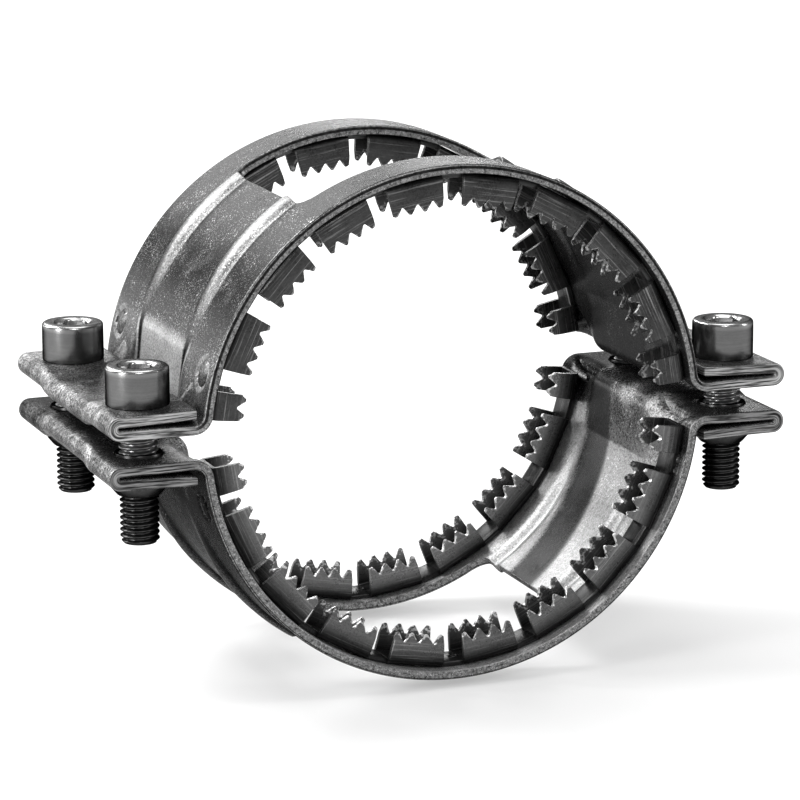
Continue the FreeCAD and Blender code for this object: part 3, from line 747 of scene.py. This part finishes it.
def link_mesh(span, clinched):
    """Bare base band between two segments, span degrees long, with a clinch mark or without."""
    half = STRIP_WIDTH / 2 - STRIP_BEND + 0.5
    reach = math.tan(math.radians(span / 2)) * SEAT * math.cos(math.radians(span / 2))
    top = SEAT * math.cos(math.radians(span / 2)) - 0.01
    low = top - STRIP_SHEET + 0.02
    bm = bmesh.new()
    place = Matrix.Translation((0, (top + low) / 2, 0)) \
        @ Matrix.Diagonal((2 * reach, top - low, 2 * half, 1))
    bmesh.ops.create_cube(bm, size=1, matrix=place)
    bmesh.ops.bevel(bm, geom=bm.edges[:], offset=LINK_BEVEL, segments=2, profile=0.5,
                    affect="EDGES", material=-1)
    if clinched:
        groove = [(1.6, 0.05), (1.25, -0.28), (0.9, -0.28), (0.6, 0.05)]
        spin_profile(bm, groove, Vector((-1.8, low, 0)), "Y", 20)
    return take_mesh(bm)


def grip_items():
    """Every part of a strip, as its mesh and its angle: segments, end pieces and links."""
    full, end = segment_mesh(SEGMENT_HALF, FULL_TEETH), segment_mesh(END_HALF, END_TEETH)
    gap = SEGMENT_PITCH - 2 * SEGMENT_HALF
    bare, clinched = [link_mesh(gap + 0.8, mark) for mark in (False, True)]
    span = (SEGMENT_COUNT - 1) * SEGMENT_PITCH
    lead = span / 2 + SEGMENT_HALF + gap + END_HALF
    items = [(full, -span / 2 + k * SEGMENT_PITCH) for k in range(SEGMENT_COUNT)]
    items += [(end, -lead), (end, lead)]
    items += [(clinched if k == SEGMENT_COUNT // 2 else bare,
               -span / 2 + (k - 0.5) * SEGMENT_PITCH) for k in range(SEGMENT_COUNT + 1)]
    return items


def make_grip(name, node, finish, way, turned, body, seed):
    """One strip; the random draws blunt each tooth's tip, more on one side."""
    rng = np.random.default_rng(seed)
    points, faces, grain, total = [], [], [], 0
    marks = {"rim": [], "bent": [], "shade": []}
    for (local, local_faces), angle in grip_items():
        t, r, y = local.T
        tip = np.clip((TIP_LEVEL + 1.2 - r) / 1.2, 0, 1)
        place = (t + FULL_TEETH * TOOTH_PITCH / 2) / TOOTH_PITCH
        tooth = np.clip(place.astype(int), 0, FULL_TEETH - 1)
        blunt = np.abs(rng.normal(0, BLUNTING, FULL_TEETH))
        lean = rng.normal(0, LEANING, FULL_TEETH)
        worn = r + tip * (blunt[tooth] + np.maximum(lean[tooth] * (place - tooth - 0.5), 0))
        a = math.radians(angle)
        x = t * math.cos(a) + worn * math.sin(a)
        z = worn * math.cos(a) - t * math.sin(a)
        points.append(np.stack([x, y + way * STRIP_PLACE, z - OVERLAP], 1))
        faces += [[i + total for i in f] for f in local_faces]
        grain.append(np.stack([t + angle * 3.7, worn, y], 1))
        # The marks place painted light: rim the paler tip zone, bent the painted glints along the
        # toothed edge and shade the blades' upper part, painted lighter or darker for each strip.
        marks["rim"].append(smooth((TIP_LEVEL + 4.6 - r) / 1.8))
        marks["bent"].append((r < TIP_LEVEL + TOOTH_DEPTH - 0.12).astype(float))
        marks["shade"].append(smooth((r - TIP_LEVEL - 4.6) / 1.6)
                              * smooth((SEAT - 0.9 - r) / 0.6))
        total += len(local)
    points = np.concatenate(points)
    add_piece(name, turned_over(points) if turned else points, faces, finish, body,
              "grip_steel", node, np.concatenate(grain), 30.0,
              **{label: np.concatenate(values) for label, values in marks.items()})


# ---- screws and nuts

def ring_stack(rings, angle):
    """Rings are (radius, z), the radius one number or one for each angle; both ends are closed."""
    count = len(angle)
    points = []
    for radius, z in rings:
        r = np.broadcast_to(radius, angle.shape)
        points.append(np.stack([r * np.cos(angle), r * np.sin(angle), z + 0 * angle], 1))
    faces = []
    for k in range(len(rings) - 1):
        a, b = k * count, (k + 1) * count
        for i in range(count):
            j = (i + 1) % count
            faces.append([a + i, a + j, b + j, b + i])
    faces.append(list(range(count))[::-1])
    faces.append(list(range((len(rings) - 1) * count, len(rings) * count)))
    return np.concatenate(points), faces


def head_rings(angle):
    """The head from the bottom of its socket, over the rim and down to its seat at z = 0."""
    hexagon = SOCKET_HALF / np.cos((angle + math.pi / 6) % (math.pi / 3) - math.pi / 6)
    hexagon = np.minimum(hexagon, SOCKET_CORNER)
    socket = [(0.3, 4.4), (hexagon * 0.8, 4.9), (hexagon - 0.05, 5.1), (hexagon, 5.3),
              (hexagon, 9.1), (hexagon + 0.06, 9.3), (np.maximum(hexagon + 0.15, 4.62), 9.62),
              (4.95, 9.93), (5.15, 10.0), (6.2, 10.0)]
    rounded = [(7.05 + 0.9 * math.sin(t), 9.1 + 0.9 * math.cos(t))
               for t in np.linspace(0, math.pi / 2, 7)]
    side = [(7.98, 8.0), (8.0, 5.0), (8.0, 0.6), (7.93, 0.25), (7.7, 0.03), (6.5, 0.0), (5.2, 0.0)]
    return socket + rounded + side


def thread_rings(angle):
    """The shank from under the head down to its bevelled point, with a helical thread."""
    rings = []
    for z in np.arange(-0.2, -SHANK_LENGTH - 0.01, -THREAD_STEP):
        phase = (z / THREAD_PITCH - angle / (2 * math.pi)) % 1.0
        depth = np.clip((np.abs(phase - 0.5) * 2 - 0.14) / 0.72, 0, 1)
        r = THREAD_OUTER - THREAD_DEPTH * smooth(depth) * 0.6 - THREAD_DEPTH * depth * 0.4
        rings.append((np.minimum(r, POINT_RADIUS + (z + SHANK_LENGTH) * POINT_SLOPE), z))
    return rings + [(0.2, -SHANK_LENGTH)]


def make_screw(name, node, finish, body, x, y):
    angle = np.linspace(0, 2 * math.pi, SCREW_STEPS, endpoint=False)
    rings = head_rings(angle) + thread_rings(angle)
    points, faces = ring_stack(rings[::-1], angle)
    grain = points + np.array([0, 0, SEAT_LEVEL])
    height = grain[:, 2]
    shank = (height < SEAT_LEVEL - 0.1).astype(float)
    # Painted highlights on the head's top, in its socket and on the shank between the ears.
    top = np.clip((height - SEAT_LEVEL - 8.2) / 1.6, 0, 1)
    socket = (np.hypot(grain[:, 0], grain[:, 1]) < 5.3) * (1 - shank)
    in_gap = shank * smooth((5.5 - np.abs(height)) / 2)
    add_piece(name, grain + np.array([x, y, 0]), faces, finish, body, "screw_steel", node, grain,
              32.0, rim=shank, shine=np.max([top, socket, in_gap], axis=0))


def make_nut(name, node, finish, body, x, y):
    """A collar nut: a tapered body under the ear and a collar through both layers."""
    top = 2 * SHEET + SLIT + 0.6
    profile = [(5.06, -4.1), (5.3, -4.2), (5.4, -4.2), (5.7, -3.95), (7.05, -2.35), (7.22, -2.0),
               (7.25, -1.7), (7.25, -0.25), (7.15, -0.03), (6.9, 0.0), (6.15, 0.0),
               (6.15, top - 0.3), (6.05, top - 0.08), (5.85, top), (5.3, top), (5.06, top - 0.25)]
    bm = bmesh.new()
    spin_profile(bm, profile, Vector((0, 0, 0)), "Z", NUT_STEPS, whole=True)
    points, faces = take_mesh(bm)
    grain = points - np.array([0, 0, SEAT_LEVEL])
    add_piece(name, grain + np.array([x, y, 0]), faces, finish, body, "nut_steel", node, grain,
              35.0)


# ---- the fourteen pieces

# The lower shell's copy has its ear edges painted darker, as painted shade, and a narrower painted
# dark band on its cut edges.
make_shell("upper_shell_sheet", "upper_shell",
           shell_finish("plated_sheet_upper", 3.0, 0.02, 1.0),
           CLEARANCE_HOLE, False, "upper_half")
make_shell("lower_shell_sheet", "lower_shell",
           shell_finish("plated_sheet_lower", 71.0, 0.50, 0.6),
           NUT_HOLE, True, "lower_half")
screw_steel, nut_steel = screw_finish("bright_screw_steel"), nut_finish("dark_nut_steel")

# Each strip's painted light: the paler tip zone, the blades' upper part (painted lighter above
# 0 and painted shade below 0) and the painted glints on the tips.
GRIP_PAINTED_LIGHT = {"upper_front_grip": (0.01, 0.35, 0.2), "lower_front_grip": (0.09, -0.6, 0.5),
              "upper_rear_grip": (0.01, 0.35, 0.2), "lower_rear_grip": (0.18, -0.6, 0.5)}

for number, (end, way) in enumerate([("front", -1), ("rear", 1)]):
    for half, turned in (("upper", False), ("lower", True)):
        node = "%s_%s_grip" % (half, end)
        steel = grip_finish(node + "_steel", 17.0 * number + 5 * turned, *GRIP_PAINTED_LIGHT[node])
        make_grip(node + "_blades", node, steel, way, turned, half + "_half",
                  11 + number * 2 + turned)
    for side_name, side in (("left", -1), ("right", 1)):
        place = (side * SCREW_REACH, way * SCREW_PLACE)
        node = "screw_%s_%s" % (end, side_name)
        make_screw(node + "_threaded", node, screw_steel, node, *place)
        node = "nut_%s_%s" % (end, side_name)
        make_nut(node + "_pressed", node, nut_steel, "lower_half", *place)


# ---- stage, light and camera, in metres

FLOOR_LEVEL, FLOOR_HALF = -0.0685, 8.0
IMAGE_SIZE, FOCAL, CENTRE = 800, 3883.12, (398.02, 391.8)
AZIMUTH, ELEVATION, ROLL = math.radians(-20.38), math.radians(12.40), math.radians(-0.23)
DISTANCE = 1.01273

# Name, place, target, width, height and power in watts.
LAMPS = [
    ("key_back_left", (-0.75, 0.75, 1.05), (0, 0, 0), 0.8, 0.6, 26),
    ("left_back", (-1.05, 0.88, 0.50), (0, 0, 0), 0.5, 0.6, 8),
    ("back_left", (-0.12, 1.65, 0.72), (0, 0, 0), 0.75, 0.5, 15),
    ("back_right", (0.6, 1.65, 0.42), (0, 0, 0), 0.6, 0.35, 11),
    ("back_low", (-0.72, 1.55, 0.10), (0, 0, 0.02), 0.6, 0.30, 5),
    ("above", (0.1, 0.0, 1.4), (0, 0, 0), 1.0, 1.0, 11),
    ("side_left", (-1.4, -0.45, 0.35), (0, 0, 0), 0.35, 0.9, 13),
    ("front", (-0.3, -1.5, 1.0), (0, 0, 0), 0.5, 0.4, 9),
    ("side_right", (1.3, -0.5, 0.5), (0, 0, 0), 0.25, 0.8, 7),
]
WORLD_STRENGTH = 0.30


def make_floor(level, half):
    corners = [(-half, -half, level), (half, -half, level), (half, half, level),
               (-half, half, level)]
    mesh = bpy.data.meshes.new("floor")
    mesh.from_pydata(corners, [], [(0, 1, 2, 3)])
    mesh.materials.append(Finish("pale_floor").shade({
        "Base Color": (0.40, 0.40, 0.40, 1), "Roughness": 0.9,
        "Emission Color": (1, 1, 1, 1), "Emission Strength": 0.4}))
    floor = bpy.data.objects.new("floor", mesh)
    bpy.context.scene.collection.objects.link(floor)


def facing(place, target, roll=0.0):
    """Turns -Z from the place towards the target, with +Y upwards."""
    back = (Vector(place) - Vector(target)).normalized()
    right = Vector((0, 0, 1)).cross(back).normalized()
    up = back.cross(right)
    right, up = (right * math.cos(roll) + up * math.sin(roll),
                 up * math.cos(roll) - right * math.sin(roll))
    turn = Matrix((right, up, back)).transposed().to_4x4()
    return Matrix.Translation(Vector(place)) @ turn


def soft_light(name, place, target, width, height, power):
    light = bpy.data.lights.new(name, "AREA")
    light.shape = "RECTANGLE"
    light.size = width
    light.size_y = height
    light.energy = power
    lamp = bpy.data.objects.new(name, light)
    lamp.matrix_world = facing(place, target)
    bpy.context.scene.collection.objects.link(lamp)


def make_camera():
    back = Vector((math.sin(AZIMUTH) * math.cos(ELEVATION),
                   -math.cos(AZIMUTH) * math.cos(ELEVATION), math.sin(ELEVATION)))
    data = bpy.data.cameras.new("camera")
    data.sensor_fit = "HORIZONTAL"
    data.angle = 2 * math.atan(IMAGE_SIZE / 2 / FOCAL)
    data.shift_x = (IMAGE_SIZE / 2 - CENTRE[0]) / IMAGE_SIZE
    data.shift_y = (CENTRE[1] - IMAGE_SIZE / 2) / IMAGE_SIZE
    data.clip_start = 0.05
    data.clip_end = 50
    camera = bpy.data.objects.new("camera", data)
    camera.matrix_world = facing(back * DISTANCE, (0, 0, 0), ROLL)
    bpy.context.scene.collection.objects.link(camera)
    bpy.context.scene.camera = camera


make_floor(FLOOR_LEVEL, FLOOR_HALF)
for lamp in LAMPS:
    soft_light(*lamp)
make_camera()

world = bpy.data.worlds.new("studio")
bpy.context.scene.world = world
world.use_nodes = True
background = world.node_tree.nodes["Background"]
background.inputs["Color"].default_value = (1, 1, 1, 1)
background.inputs["Strength"].default_value = WORLD_STRENGTH
bpy.context.scene.view_settings.view_transform = "Standard"
